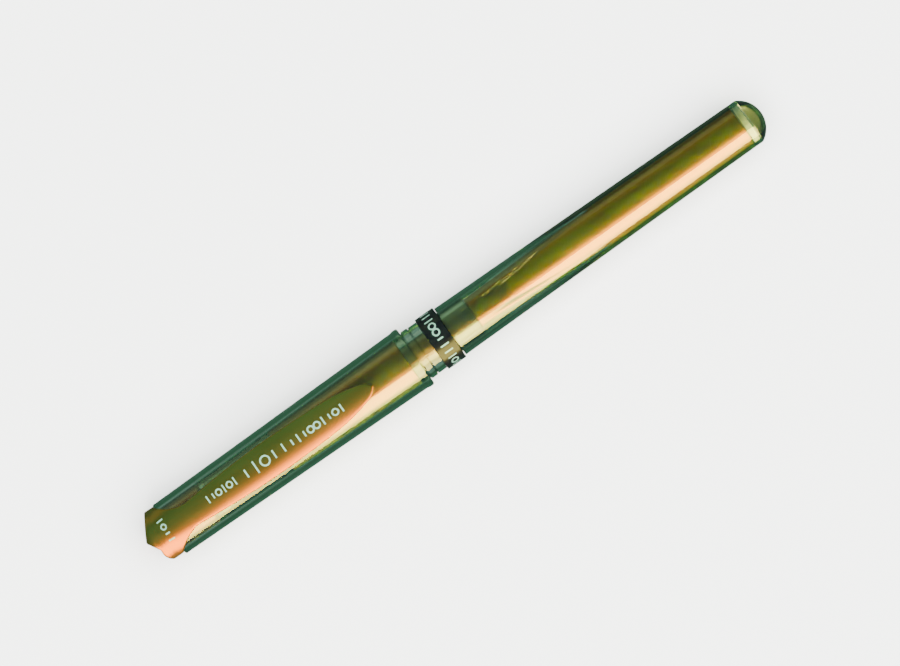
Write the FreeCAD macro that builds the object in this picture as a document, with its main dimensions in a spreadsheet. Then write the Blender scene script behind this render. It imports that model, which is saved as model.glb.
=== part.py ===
import FreeCAD, Part
import os
import re
import Sketcher

# A capped gel pen lying along X: cap at -X, tail at +X, clip on top (+Z).
# "Station" is the distance along the pen from the cap's end. All turned pieces are drawn by
# station and radius in the XZ plane and revolved about the pen's axis.
# The origin is under the middle of the pen, on the surface that the cap's rim touches.

DIMENSIONS = {
    "PenLength": 150.0,
    "RimRadius": 6.75,
    "SideWidth": 13.5,
    # running and push fits, thin gaps, and edges broken by a bevel or a round
    "Fit": 0.03,
    "Gap": 0.1,
    "FineBevel": 0.15,
    "Bevel": 0.3,
    "WideBevel": 0.5,
    # cap shell
    "ShellStart": 5.2,
    "ShellStartRadius": 5.9,
    "ShellEndRadius": 6.6,
    "BeadStart": 63.8,
    "BeadRamp": 0.4,
    "CapMouth": 65.4,
    "RimRound": 0.5,
    "MouthRound": 0.3,
    "ShellPlugBore": 4.6,
    "ShellSealBore": 4.7,
    "ShellMouthBore": 5.45,
    # crown and clip
    "CrownApexAcross": 0.3,
    "CrownCorner": 3.1,
    "CrownHalfWidth": 5.7,
    "CrownRadius": 6.3,
    "CrownFaceRadius": 4.7,
    "CrownInside": 4.4,
    "NotchStation": 1.7,
    "NotchAcross": 2.5,
    "LobeNose": 1.6,
    "LobeNoseAcross": 3.7,
    "LobeStation": 2.8,
    "LobeAcross": 5.4,
    "PlugEnd": 14.9,
    "Waist": 11.0,
    "WaistHalfWidth": 2.55,
    "FlareStation": 7.9,
    "FlareHalfWidth": 3.4,
    "LeafStation": 30.5,
    "LeafHalfWidth": 3.68,
    "LeafShoulder": 44.0,
    "LeafShoulderHalfWidth": 3.32,
    "LeafBend": 48.5,
    "LeafBendHalfWidth": 2.82,
    "LeafNose": 52.6,
    "LeafNoseHalfWidth": 1.9,
    "LeafTip": 54.07,
    "LeafTipHalfWidth": 1.19,
    "ClipEnd": 55.2,
    "ClipRootRadius": 7.9,
    "ClipTopRadius": 8.75,
    "ClipThickness": 1.25,
    "ClipEndRadius": 7.5,
    "ClipPad": 50.0,
    "ClipPadRadius": 6.5,
    "ClipPadRun": 4.0,
    "ClipPadRise": 0.15,
    "ClipTipRise": 0.7,
    "ClipSpread": 130.0,
    # inner cap and its seal
    "InnerCapStart": 15.0,
    "InnerCapRing": 29.4,
    "InnerCapMouth": 30.7,
    "InnerCapRadius": 4.45,
    "InnerCapBore": 3.95,
    "InnerCapFloor": 0.9,
    "InnerCapFlange": 1.2,
    "SealEnd": 18.42,
    "SealFaceRadius": 1.6,
    "SealCrown": 1.2,
    # nose cone
    "NoseStart": 22.0,
    "NoseStartRadius": 2.3,
    "NoseTaperEnd": 30.0,
    "NoseTaperRadius": 3.6,
    "NoseBulge": 26.3,
    "NoseBulgeRadius": 3.15,
    "NoseFlange": 30.9,
    "NoseFlangeRadius": 4.5,
    "PointBore": 1.22,
    "HolderBore": 2.25,
    "HolderSeat": 24.4,
    # front half
    "FrontStart": 28.0,
    "GripStart": 32.4,
    "GripEnd": 63.5,
    "SpigotRadius": 3.0,
    "GripSeatRadius": 4.0,
    "GripFrontRadius": 4.5,
    "GripRearRadius": 4.95,
    "CapSeatRadius": 5.3,
    "CollarStart": 65.6,
    "CollarEnd": 67.1,
    "CollarRadius": 5.6,
    "CollarRound": 0.25,
    "GrooveRadius": 5.15,
    "SecondCollar": 67.3,
    "SecondCollarRadius": 5.5,
    "BandStart": 69.3,
    "BandEnd": 73.7,
    "BandRadius": 5.98,
    "BandSeatRadius": 5.0,
    "RefillStop": 39.0,
    "RefillBore": 3.15,
    "FrontBore": 2.3,
    "FrontEnd": 79.6,
    # refill
    "BallStation": 19.0,
    "BallRadius": 0.5,
    "BallSeat": 0.52,
    "SeatMouthRadius": 0.456,
    "PointRimRadius": 0.55,
    "PointConeEnd": 21.4,
    "PointRadius": 1.15,
    "PointShank": 25.0,
    "PointShankRadius": 0.85,
    "PointEnd": 28.5,
    "PointChannel": 0.42,
    "WireRadius": 0.05,
    "CoilRadius": 0.3,
    "CoilStart": 21.0,
    "CoilLength": 5.0,
    "CoilPitch": 0.36,
    "WireOverlap": 0.05,
    "HolderStart": 24.6,
    "HolderRadius": 2.15,
    "HolderEnd": 43.0,
    "HolderBevel": 0.6,
    "CageCone": 0.6,
    "InkChannel": 0.6,
    "CageStart": 31.0,
    "CageEnd": 34.2,
    "CageRadius": 1.35,
    "CheckBallRadius": 1.0,
    "TubeStart": 39.2,
    "TubeEnd": 128.0,
    "TubeRadius": 3.0,
    "TubeBore": 2.45,
    "InkEnd": 100.0,
    "FollowerEnd": 108.0,
    "FloatRadius": 1.6,
    "FloatMargin": 1.2,
    "StopStart": 126.0,
    "RefillEnd": 129.2,
    "VentRadius": 0.4,
    # barrel
    "BarrelStart": 73.85,
    "BarrelStartRadius": 5.6,
    "BarrelEnd": 145.3,
    "BarrelEndRadius": 4.98,
    "BarrelWall": 0.95,
    "BarrelBevel": 0.1,
    "LinerStart": 79.8,
    "LinerStartRadius": 3.66,
    "LinerWall": 0.36,
    "LinerFull": 110.0,
    "LinerEnd": 145.1,
    "TailSpigot": 140.5,
    "TailSpigotRadius": 3.55,
    "TailShoulder": 147.0,
    "TailDiscRadius": 4.35,
    "TailDiscThickness": 0.7,
    "DomeViaAcross": 3.0,
    "DomeVia": 149.0,
}

doc = FreeCAD.newDocument("gel_pen")
sizes = doc.addObject("Spreadsheet::Sheet", "Sizes")
for row, (alias, value) in enumerate(DIMENSIONS.items(), start=1):
    sizes.set(f"A{row}", alias)
    sizes.set(f"B{row}", str(value))
    sizes.setAlias(f"B{row}", alias)
doc.recompute()

# How fast the tapered walls widen along the pen, and their radii at a station, as rules on the
# sheet's cells.
BORE_TAPER = "(ShellMouthBore - ShellSealBore) / (CapMouth - InnerCapStart)"
BARREL_TAPER = "(BarrelEndRadius - BarrelStartRadius) / (BarrelEnd - BarrelStart)"


def cap_bore(station):
    return f"(ShellSealBore + {BORE_TAPER} * ({station} - InnerCapStart))"


def barrel_radius(station):
    return f"(BarrelStartRadius + {BARREL_TAPER} * ({station} - BarrelStart))"


def barrel_bore(station):
    return f"({barrel_radius(station)} - BarrelWall)"


def linked(rule):
    # names of cells start with a capital letter
    return re.sub(r"\b([A-Z]\w+)", r"Sizes.\1", rule)


def measure(rule):
    return float(sizes.evalExpression(linked(rule)))


def place(piece, station="0"):
    # stations count from the cap's end, half the pen's length behind the origin
    piece.setExpression(".Placement.Base.x", linked(f"{station} - PenLength / 2"))
    piece.setExpression(".Placement.Base.z", linked("RimRadius"))


def pin_point(sketch, curve, end, rules):
    # ties one end of a curve to its two coordinates on the sheet
    kinds = (("DistanceX", rules[0], -2), ("DistanceY", rules[1], -1))
    for kind, rule, axis in kinds:
        value = measure(rule)
        if rule == "0":
            sketch.addConstraint(Sketcher.Constraint("PointOnObject", curve, end, axis))
            continue
        made = Sketcher.Constraint(kind, -1, 1, curve, end, value)
        index = sketch.addConstraint(made)
        sketch.setExpression(f"Constraints[{index}]", linked(rule))


def point_at(rules):
    return FreeCAD.Vector(measure(rules[0]), measure(rules[1]), 0)


def draw(sketch, outline):
    # Each corner is (x, y), reached by a straight edge, or (x, y, via x, via y), reached by an
    # arc that passes through the via point.
    ends = []
    for index, corner in enumerate(outline):
        start = point_at(outline[index - 1])
        end = point_at(corner)
        ends.append((1, 2))
        if len(corner) == 2:
            sketch.addGeometry(Part.LineSegment(start, end), False)
            continue
        via = point_at(corner[2:])
        # a sketch keeps its arcs anticlockwise, so a clockwise one is drawn from its far end
        if (via - start).cross(end - start).z < 0:
            start, end = end, start
            ends[-1] = (2, 1)
        sketch.addGeometry(Part.Arc(start, via, end), False)
    for index in range(len(outline)):
        meet = (index - 1) % len(outline)
        joined = (meet, ends[meet][1], index, ends[index][0])
        sketch.addConstraint(Sketcher.Constraint("Coincident", *joined))
    for index, corner in enumerate(outline):
        pin_point(sketch, index, ends[index][1], corner[:2])
        if len(corner) == 4:
            point = sketch.addGeometry(Part.Point(point_at(corner[2:])), True)
            sketch.addConstraint(Sketcher.Constraint("PointOnObject", point, 1, index))
            pin_point(sketch, point, 1, corner[2:])


def corner_cut(x, y, size, arriving, leaving, rounded=True):
    # The two corners that replace (x, y) where a path turns squarely: arriving and leaving are
    # its directions, as signs along x and y. The cut is a quarter round or a bevel.
    start = (f"{x} - {arriving[0]} * {size}", f"{y} - {arriving[1]} * {size}")
    end = (f"{x} + {leaving[0]} * {size}", f"{y} + {leaving[1]} * {size}")
    if not rounded:
        return [start, end]
    toward = (leaving[0] - arriving[0], leaving[1] - arriving[1])
    via = (
        f"{x} + {toward[0]} * {size} * (1 - sqrt(0.5))",
        f"{y} + {toward[1]} * {size} * (1 - sqrt(0.5))",
    )
    return [start, end + via]


FORWARD = (1, 0)
BACK = (-1, 0)
OUT = (0, 1)
IN = (0, -1)


def sketch_on(body, role, outline):
    plane = next(item for item in body.Origin.OriginFeatures if item.Role == role)
    sketch = body.newObject("Sketcher::SketchObject", f"{body.Label}_outline")
    sketch.AttachmentSupport = [(plane, "")]
    sketch.MapMode = "FlatFace"
    draw(sketch, outline)
    return sketch


def turned(label, outline, placed=True, spread=None):
    # a revolved piece; spread limits it to an angle centred on the top of the pen
    body = doc.addObject("PartDesign::Body", label)
    sketch = sketch_on(body, "XZ_Plane", outline)
    turn = body.newObject("PartDesign::Revolution", f"{label}_turn")
    turn.Profile = sketch
    turn.ReferenceAxis = (sketch, ["H_Axis"])
    turn.Angle = 360
    if spread:
        turn.Midplane = True
        turn.setExpression("Angle", f"{linked(spread)} * 1 deg")
    if placed:
        place(body)
    return body


def plate(label, outline):
    # a prism through the whole height of the pen, drawn in plan
    body = doc.addObject("PartDesign::Body", label)
    pad = body.newObject("PartDesign::Pad", f"{label}_pad")
    pad.Profile = sketch_on(body, "XY_Plane", outline)
    pad.Midplane = True
    pad.setExpression("Length", linked("2 * SideWidth"))
    return body


def combine(kind, label, shapes):
    # kind is Part::MultiFuse or Part::MultiCommon
    result = doc.addObject(kind, label)
    result.Shapes = shapes
    return result


# ---- cap ----

cap_shell = turned("cap_shell", [
    ("ShellStart", "ShellPlugBore"),
    ("ShellStart", "ShellStartRadius"),
    ("BeadStart", "ShellEndRadius"),
    ("BeadStart + BeadRamp", "RimRadius"),
    *corner_cut("CapMouth", "RimRadius", "RimRound", FORWARD, IN),
    *corner_cut("CapMouth", "ShellMouthBore", "MouthRound", IN, BACK),
    ("InnerCapStart", "ShellSealBore"),
    ("InnerCapStart", "ShellPlugBore"),
])

crown_plan = plate("crown_plan", [
    ("0", "CrownApexAcross"),
    ("CrownCorner", "CrownHalfWidth"),
    ("ShellStart - Gap", "CrownHalfWidth - Gap"),
    ("Waist", "WaistHalfWidth", "FlareStation", "FlareHalfWidth"),
    ("Waist", "-WaistHalfWidth"),
    ("ShellStart - Gap", "-LobeAcross", "FlareStation", "-FlareHalfWidth"),
    ("LobeStation", "-LobeAcross"),
    ("NotchStation", "-NotchAcross", "LobeNose", "-LobeNoseAcross"),
])
crown_end = turned("crown_end", [
    ("0", "0"),
    ("0", "CrownFaceRadius"),
    ("CrownCorner", "CrownRadius", "WideBevel", "CrownFaceRadius + 2 * WideBevel"),
    ("ShellStart - Gap", "CrownRadius"),
    ("ShellStart - Gap", "0"),
], placed=False)
crown_root = turned("crown_root", [
    ("CrownCorner", "CrownInside"),
    ("CrownCorner", "CrownRadius"),
    ("Waist", "ClipRootRadius", "FlareStation", "ClipRootRadius - WideBevel"),
    ("Waist", "ClipRootRadius - ClipThickness"),
    ("ShellStart - Gap", "ShellStartRadius + 2 * Gap"),
    ("ShellStart - Gap", "CrownInside"),
], placed=False, spread="ClipSpread")
crown_plug = turned("crown_plug", [
    ("CrownCorner", "0"),
    ("CrownCorner", "ShellPlugBore - Fit"),
    *corner_cut("PlugEnd", "ShellPlugBore - Fit", "WideBevel", FORWARD, IN, rounded=False),
    ("PlugEnd", "0"),
], placed=False)
crown_head = combine("Part::MultiFuse", "crown_head", [crown_end, crown_root])
crown_outside = combine("Part::MultiCommon", "crown_outside", [crown_head, crown_plan])
crown = combine("Part::MultiFuse", "crown", [crown_outside, crown_plug])
place(crown)

# The clip is one moulding with the crown; it starts at the waist, where it flexes.
clip_plan = plate("clip_plan", [
    ("Waist + Fit", "WaistHalfWidth"),
    ("LeafShoulder", "LeafShoulderHalfWidth", "LeafStation", "LeafHalfWidth"),
    ("LeafNose", "LeafNoseHalfWidth", "LeafBend", "LeafBendHalfWidth"),
    ("ClipEnd", "0", "LeafTip", "LeafTipHalfWidth"),
    ("LeafNose", "-LeafNoseHalfWidth", "LeafTip", "-LeafTipHalfWidth"),
    ("LeafShoulder", "-LeafShoulderHalfWidth", "LeafBend", "-LeafBendHalfWidth"),
    ("Waist + Fit", "-WaistHalfWidth", "LeafStation", "-LeafHalfWidth"),
])
clip_side = turned("clip_side", [
    ("Waist + Fit", "ClipRootRadius - ClipThickness"),
    ("Waist + Fit", "ClipRootRadius"),
    ("ClipEnd", "ClipEndRadius", "LeafStation + ClipPadRun", "ClipTopRadius"),
    ("ClipEnd", "ClipPadRadius + ClipTipRise"),
    ("ClipPad", "ClipPadRadius", "ClipPad + ClipPadRun / 2", "ClipPadRadius + ClipPadRise"),
    (
        "ClipPad - ClipPadRun",
        "ClipTopRadius - ClipThickness - Bevel",
        "ClipPad - ClipPadRun / 2",
        "ClipPadRadius + ClipPadRise",
    ),
], placed=False, spread="ClipSpread")
clip_arm = combine("Part::MultiCommon", "clip_arm", [clip_side, clip_plan])
place(clip_arm)

inner_cap = turned("inner_cap", [
    ("InnerCapStart + Fit", "0"),
    ("InnerCapStart + Fit", "ShellPlugBore - Gap"),
    ("InnerCapStart + InnerCapFlange", "ShellPlugBore - Gap"),
    ("InnerCapStart + InnerCapFlange", "InnerCapRadius"),
    ("InnerCapRing", "InnerCapRadius"),
    ("InnerCapRing", f"{cap_bore('InnerCapRing')} - Fit"),
    ("InnerCapMouth", f"{cap_bore('InnerCapRing')} - Fit"),
    ("InnerCapMouth", "InnerCapBore"),
    ("InnerCapStart + InnerCapFloor", "InnerCapBore"),
    ("InnerCapStart + InnerCapFloor", "0"),
])

tip_seal = turned("tip_seal", [
    ("InnerCapStart + InnerCapFloor + Fit", "0"),
    ("InnerCapStart + InnerCapFloor + Fit", "InnerCapBore - Fit"),
    ("SealEnd - SealCrown", "InnerCapBore - Fit"),
    ("SealEnd", "SealFaceRadius", "SealEnd - Bevel", "2 * SealFaceRadius - Bevel"),
    ("SealEnd", "0"),
])

# ---- front half ----

nose_cone = turned("nose_cone", [
    ("NoseStart", "PointBore"),
    *corner_cut("NoseStart", "NoseStartRadius", "Bevel", OUT, FORWARD),
    ("NoseTaperEnd", "NoseTaperRadius", "NoseBulge", "NoseBulgeRadius"),
    ("NoseFlange", "NoseTaperRadius"),
    ("NoseFlange", "NoseFlangeRadius"),
    ("GripStart", "NoseFlangeRadius"),
    ("GripStart", "SpigotRadius + Fit"),
    ("FrontStart - Fit", "SpigotRadius + Fit"),
    ("FrontStart - Fit", "HolderBore"),
    ("HolderSeat", "HolderBore"),
    ("HolderSeat", "PointBore"),
])

front_body = turned("front_body", [
    ("FrontStart", "FrontBore"),
    ("FrontStart", "SpigotRadius"),
    ("GripStart + Fit", "SpigotRadius"),
    ("GripStart + Fit", "GripSeatRadius"),
    ("GripEnd + Fit", "GripSeatRadius"),
    ("GripEnd + Fit", "CapSeatRadius"),
    ("CollarStart", "CapSeatRadius"),
    *corner_cut("CollarStart", "CollarRadius", "CollarRound", OUT, FORWARD),
    *corner_cut("CollarEnd", "CollarRadius", "CollarRound", FORWARD, IN),
    ("CollarEnd", "GrooveRadius"),
    ("SecondCollar", "GrooveRadius"),
    ("SecondCollar", "SecondCollarRadius"),
    ("BandStart", "SecondCollarRadius"),
    ("BandStart", "BandSeatRadius"),
    ("BandEnd", "BandSeatRadius"),
    ("BandEnd", f"{barrel_bore('BandEnd')} - Fit"),
    ("FrontEnd", f"{barrel_bore('FrontEnd')} - Fit"),
    ("FrontEnd", "RefillBore"),
    ("RefillStop", "RefillBore"),
    ("RefillStop", "FrontBore"),
])

grip_sleeve = turned("grip_sleeve", [
    ("GripStart + 2 * Fit", "GripSeatRadius + Fit"),
    ("GripStart + 2 * Fit", "GripFrontRadius"),
    ("GripEnd", "GripRearRadius"),
    ("GripEnd", "GripSeatRadius + Fit"),
])

band_ring = turned("band_ring", [
    ("BandStart + Fit", "BandSeatRadius + Fit"),
    *corner_cut("BandStart + Fit", "BandRadius", "FineBevel", OUT, FORWARD, rounded=False),
    *corner_cut("BandEnd", "BandRadius", "FineBevel", FORWARD, IN, rounded=False),
    ("BandEnd", "BandSeatRadius + Fit"),
])

# ---- refill ----

SEAT_MOUTH = "(BallStation - sqrt(BallSeat ^ 2 - SeatMouthRadius ^ 2))"
SEAT_BACK = "(BallStation + sqrt(BallSeat ^ 2 - PointChannel ^ 2))"
tip_body = turned("tip_body", [
    (SEAT_MOUTH, "SeatMouthRadius", "BallStation", "BallSeat"),
    (SEAT_MOUTH, "PointRimRadius"),
    ("PointConeEnd", "PointRadius"),
    ("PointShank", "PointRadius"),
    ("PointShank", "PointShankRadius"),
    ("PointEnd", "PointShankRadius"),
    ("PointEnd", "PointChannel"),
    (SEAT_BACK, "PointChannel"),
])

writing_ball = doc.addObject("Part::Sphere", "writing_ball")
writing_ball.setExpression("Radius", linked("BallRadius"))
place(writing_ball, "BallStation")

# The ball spring: a fine coil, a straight wire forward to the ball and the bend that joins them.
# It is drawn along Z with its front at zero, then laid along the pen.
coil_path = doc.addObject("Part::Helix", "coil_path")
coil_path.setExpression("Pitch", linked("CoilPitch"))
coil_path.setExpression("Height", linked("CoilLength"))
coil_path.setExpression("Radius", linked("CoilRadius"))
coil_wire = doc.addObject("Part::Circle", "coil_wire")
coil_wire.setExpression("Radius", linked("WireRadius"))
coil_wire.setExpression(".Placement.Base.x", linked("CoilRadius"))
coil_wire.Placement.Rotation = FreeCAD.Rotation(FreeCAD.Vector(1, 0, 0), 90)
coil = doc.addObject("Part::Sweep", "coil")
coil.Sections = [coil_wire]
coil.Spine = (coil_path, [])
coil.Solid = True
coil.Frenet = True
bend = doc.addObject("Part::Cylinder", "bend")
bend.setExpression("Radius", linked("WireRadius"))
bend.setExpression("Height", linked("CoilRadius"))
bend.Placement.Rotation = FreeCAD.Rotation(FreeCAD.Vector(0, 1, 0), 90)
push_wire = doc.addObject("Part::Cylinder", "push_wire")
push_wire.setExpression("Radius", linked("WireRadius"))
push_wire.setExpression("Height", linked("CoilStart - BallStation - BallRadius - Fit"))
push_wire.setExpression(
    ".Placement.Base.z", linked("BallStation + BallRadius + WireOverlap - CoilStart")
)
ball_spring = combine("Part::MultiFuse", "ball_spring", [coil, bend, push_wire])
ball_spring.Placement.Rotation = FreeCAD.Rotation(FreeCAD.Vector(0, 1, 0), 90)
place(ball_spring, "CoilStart")

tip_holder = turned("tip_holder", [
    ("HolderStart", "PointRadius + Fit"),
    ("HolderStart", "HolderRadius - Bevel"),
    ("HolderStart + HolderBevel", "HolderRadius"),
    ("TubeStart - Gap", "HolderRadius"),
    ("TubeStart - Gap", "TubeBore - Fit"),
    ("HolderEnd", "TubeBore - Fit"),
    ("HolderEnd", "InkChannel"),
    ("CageEnd", "InkChannel"),
    ("CageEnd - CageCone", "CageRadius"),
    ("CageStart", "CageRadius"),
    ("CageStart", "InkChannel"),
    ("PointEnd + Fit", "InkChannel"),
    ("PointEnd + Fit", "PointShankRadius + Fit"),
    ("PointShank + Fit", "PointShankRadius + Fit"),
    ("PointShank + Fit", "PointRadius + Fit"),
])

check_ball = doc.addObject("Part::Sphere", "check_ball")
check_ball.setExpression("Radius", linked("CheckBallRadius"))
place(check_ball, "CageStart + CheckBallRadius + Fit")

refill_tube = turned("refill_tube", [
    ("TubeStart", "TubeBore"),
    *corner_cut("TubeStart", "TubeRadius", "FineBevel", OUT, FORWARD, rounded=False),
    ("TubeEnd", "TubeRadius"),
    ("TubeEnd", "TubeBore"),
])

ink_column = turned("ink_column", [
    ("HolderEnd + Fit", "0"),
    ("HolderEnd + Fit", "TubeBore - Fit"),
    ("InkEnd", "TubeBore - Fit"),
    ("InkEnd", "0"),
])

follower_grease = turned("follower_grease", [
    ("InkEnd + Fit", "0"),
    ("InkEnd + Fit", "TubeBore - Fit"),
    ("FollowerEnd", "TubeBore - Fit"),
    ("FollowerEnd", "FloatRadius + Fit"),
    ("InkEnd + FloatMargin - Fit", "FloatRadius + Fit"),
    ("InkEnd + FloatMargin - Fit", "0"),
])

follower_float = turned("follower_float", [
    ("InkEnd + FloatMargin", "0"),
    *corner_cut("InkEnd + FloatMargin", "FloatRadius", "Bevel", OUT, FORWARD, rounded=False),
    ("FollowerEnd + FloatMargin", "FloatRadius"),
    ("FollowerEnd + FloatMargin", "0"),
])

refill_stop = turned("refill_stop", [
    ("StopStart", "VentRadius"),
    *corner_cut("StopStart", "TubeBore - Fit", "Bevel", OUT, FORWARD, rounded=False),
    ("TubeEnd + Fit", "TubeBore - Fit"),
    ("TubeEnd + Fit", "TubeRadius"),
    *corner_cut("RefillEnd", "TubeRadius", "FineBevel", FORWARD, IN, rounded=False),
    ("RefillEnd", "VentRadius"),
])

# ---- barrel ----

barrel = turned("barrel", [
    ("BarrelStart", barrel_bore("BarrelStart")),
    ("BarrelStart", "BarrelStartRadius - BarrelBevel"),
    ("BarrelStart + BarrelBevel", barrel_radius("(BarrelStart + BarrelBevel)")),
    ("BarrelEnd", "BarrelEndRadius"),
    ("BarrelEnd", barrel_bore("BarrelEnd")),
])

barrel_liner = turned("barrel_liner", [
    ("LinerStart", "LinerStartRadius - LinerWall"),
    ("LinerStart", "LinerStartRadius"),
    ("LinerFull", f"{barrel_bore('LinerFull')} - Fit"),
    ("LinerEnd", f"{barrel_bore('LinerEnd')} - Fit"),
    ("LinerEnd", f"{barrel_bore('LinerEnd')} - Fit - LinerWall"),
    ("LinerFull", f"{barrel_bore('LinerFull')} - Fit - LinerWall"),
])

tail_plug = turned("tail_plug", [
    ("TailSpigot", "0"),
    *corner_cut("TailSpigot", "TailSpigotRadius", "Bevel", OUT, FORWARD, rounded=False),
    ("BarrelEnd + Fit + TailDiscThickness", "TailSpigotRadius"),
    ("BarrelEnd + Fit + TailDiscThickness", "TailDiscRadius"),
    ("BarrelEnd + Fit", "TailDiscRadius"),
    ("BarrelEnd + Fit", "BarrelEndRadius"),
    ("TailShoulder", "BarrelEndRadius"),
    ("PenLength", "0", "DomeVia", "DomeViaAcross"),
])

tail_disc = turned("tail_disc", [
    ("BarrelEnd + 2 * Fit", "TailSpigotRadius + Fit"),
    ("BarrelEnd + 2 * Fit", "TailDiscRadius - Fit"),
    ("BarrelEnd + TailDiscThickness", "TailDiscRadius - Fit"),
    ("BarrelEnd + TailDiscThickness", "TailSpigotRadius + Fit"),
])

SUB_PARTS = [
    cap_shell, crown, inner_cap, tip_seal,
    clip_arm,
    front_body, nose_cone, grip_sleeve, band_ring,
    tip_body, ball_spring, tip_holder, refill_tube, ink_column, refill_stop,
    writing_ball, check_ball,
    follower_grease, follower_float,
    barrel, barrel_liner, tail_plug, tail_disc,
]

doc.recompute()
for item in doc.Objects:
    if {"Invalid", "Error"} & set(item.State):
        raise RuntimeError(f"{item.Label} did not build: {item.State}")
for piece in SUB_PARTS:
    if piece.Shape.isNull() or not piece.Shape.isValid() or piece.Shape.Volume <= 0:
        raise RuntimeError(f"{piece.Label} has no valid shape")

os.makedirs("parts", exist_ok=True)
for piece in SUB_PARTS:
    piece.Shape.exportStep(f"parts/{piece.Label}.step")
    box = piece.Shape.BoundBox
    print(f"{piece.Label}: {len(piece.Shape.Solids)} solid, {piece.Shape.Volume:.3f} mm3,",
          f"x {box.XMin:.2f} to {box.XMax:.2f}, z {box.ZMin:.2f} to {box.ZMax:.2f}")
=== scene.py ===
import math

import bmesh
import bpy
from mathutils import Matrix, Vector


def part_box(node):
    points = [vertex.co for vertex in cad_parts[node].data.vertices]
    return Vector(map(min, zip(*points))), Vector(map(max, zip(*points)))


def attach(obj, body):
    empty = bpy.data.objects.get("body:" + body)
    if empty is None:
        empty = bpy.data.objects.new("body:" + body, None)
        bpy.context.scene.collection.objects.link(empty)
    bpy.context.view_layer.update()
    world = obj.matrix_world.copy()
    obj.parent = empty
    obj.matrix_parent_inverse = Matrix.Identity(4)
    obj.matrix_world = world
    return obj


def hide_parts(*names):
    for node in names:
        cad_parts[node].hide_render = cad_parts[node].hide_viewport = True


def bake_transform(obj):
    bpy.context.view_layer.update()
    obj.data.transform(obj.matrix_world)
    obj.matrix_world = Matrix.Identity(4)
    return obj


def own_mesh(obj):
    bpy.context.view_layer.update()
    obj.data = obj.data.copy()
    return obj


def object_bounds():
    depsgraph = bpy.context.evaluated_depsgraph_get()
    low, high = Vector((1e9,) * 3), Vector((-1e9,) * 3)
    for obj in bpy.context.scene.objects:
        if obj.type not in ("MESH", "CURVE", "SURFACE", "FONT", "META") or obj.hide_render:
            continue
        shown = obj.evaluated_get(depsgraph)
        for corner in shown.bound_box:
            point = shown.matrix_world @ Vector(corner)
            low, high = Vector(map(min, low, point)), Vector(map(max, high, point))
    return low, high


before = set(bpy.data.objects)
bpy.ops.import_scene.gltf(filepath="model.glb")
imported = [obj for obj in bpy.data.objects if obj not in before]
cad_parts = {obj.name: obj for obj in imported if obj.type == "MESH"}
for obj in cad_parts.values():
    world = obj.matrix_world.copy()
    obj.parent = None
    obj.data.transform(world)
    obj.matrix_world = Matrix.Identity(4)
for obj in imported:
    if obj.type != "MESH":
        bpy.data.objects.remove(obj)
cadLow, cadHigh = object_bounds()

# The pen lies along X with its cap at -X and its clip on top.
# A station is the distance along the pen from the cap's end, and outlines give a station and a
# radius in millimetres, with an optional third number, the round put on that corner.
mm = 0.001
penStart = cadLow.x
barrelLow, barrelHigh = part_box("barrel")
axisHeight = (barrelLow.z + barrelHigh.z) / 2
scene = bpy.context.scene
lathe = {"around": 128, "cornerSteps": 5, "sharpOver": 35}
fitGap = 0.03


def station(distance):
    return penStart + distance * mm


def onPen(distance, across, height):
    # a point in metres from millimetres along, across and above the pen's axis
    return Vector((station(distance), across * mm, axisHeight + height * mm))


# ---- materials ----

# the size of each pattern, in millimetres
grain = {"flake": 0.18, "flow": 2.5, "ripple": 6.0, "cloud": 3.0, "ring": 0.6}


def linear(hexColour):
    # sRGB hex to linear red, green and blue
    parts = [int(hexColour[i:i + 2], 16) / 255 for i in (1, 3, 5)]
    return [c / 12.92 if c <= 0.04045 else ((c + 0.055) / 1.055) ** 2.4 for c in parts]


def addNode(tree, kind, settings=None, inputs=None, links=None):
    # settings are properties, inputs are socket values, links are sockets that feed this node
    node = tree.nodes.new(kind)
    for name, value in (settings or {}).items():
        setattr(node, name, value)
    for name, value in (inputs or {}).items():
        node.inputs[name].default_value = value
    for name, source in (links or {}).items():
        tree.links.new(source, node.inputs[name])
    return node


def newMaterial(name, surface):
    # surface holds the shader's own socket values
    material = bpy.data.materials.new(name)
    material.use_nodes = True
    tree = material.node_tree
    shader = next(n for n in tree.nodes if n.type == "BSDF_PRINCIPLED")
    for socket, value in surface.items():
        if isinstance(value, str):
            value = (*linear(value), 1)
        shader.inputs[socket].default_value = value
    return material, tree, shader


def objectPlace(tree):
    # the point on the piece, in metres
    return addNode(tree, "ShaderNodeTexCoord").outputs["Object"]


def colourSpread(tree, shader, source, low, high, span=(0.35, 0.65)):
    ramp = addNode(tree, "ShaderNodeValToRGB", links={"Fac": source})
    ramp.color_ramp.elements[0].position = span[0]
    ramp.color_ramp.elements[1].position = span[1]
    ramp.color_ramp.elements[0].color = (*linear(low), 1)
    ramp.color_ramp.elements[1].color = (*linear(high), 1)
    tree.links.new(ramp.outputs["Color"], shader.inputs["Base Color"])


def roughSpread(tree, shader, source, low, high):
    spread = addNode(
        tree, "ShaderNodeMapRange", inputs={"To Min": low, "To Max": high},
        links={"Value": source},
    )
    tree.links.new(spread.outputs["Result"], shader.inputs["Roughness"])


def relief(tree, shader, source, strength, depth):
    # a bump whose depth is in millimetres
    bump = addNode(
        tree, "ShaderNodeBump", inputs={"Strength": strength, "Distance": depth * mm},
        links={"Height": source},
    )
    tree.links.new(bump.outputs["Normal"], shader.inputs["Normal"])


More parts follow.
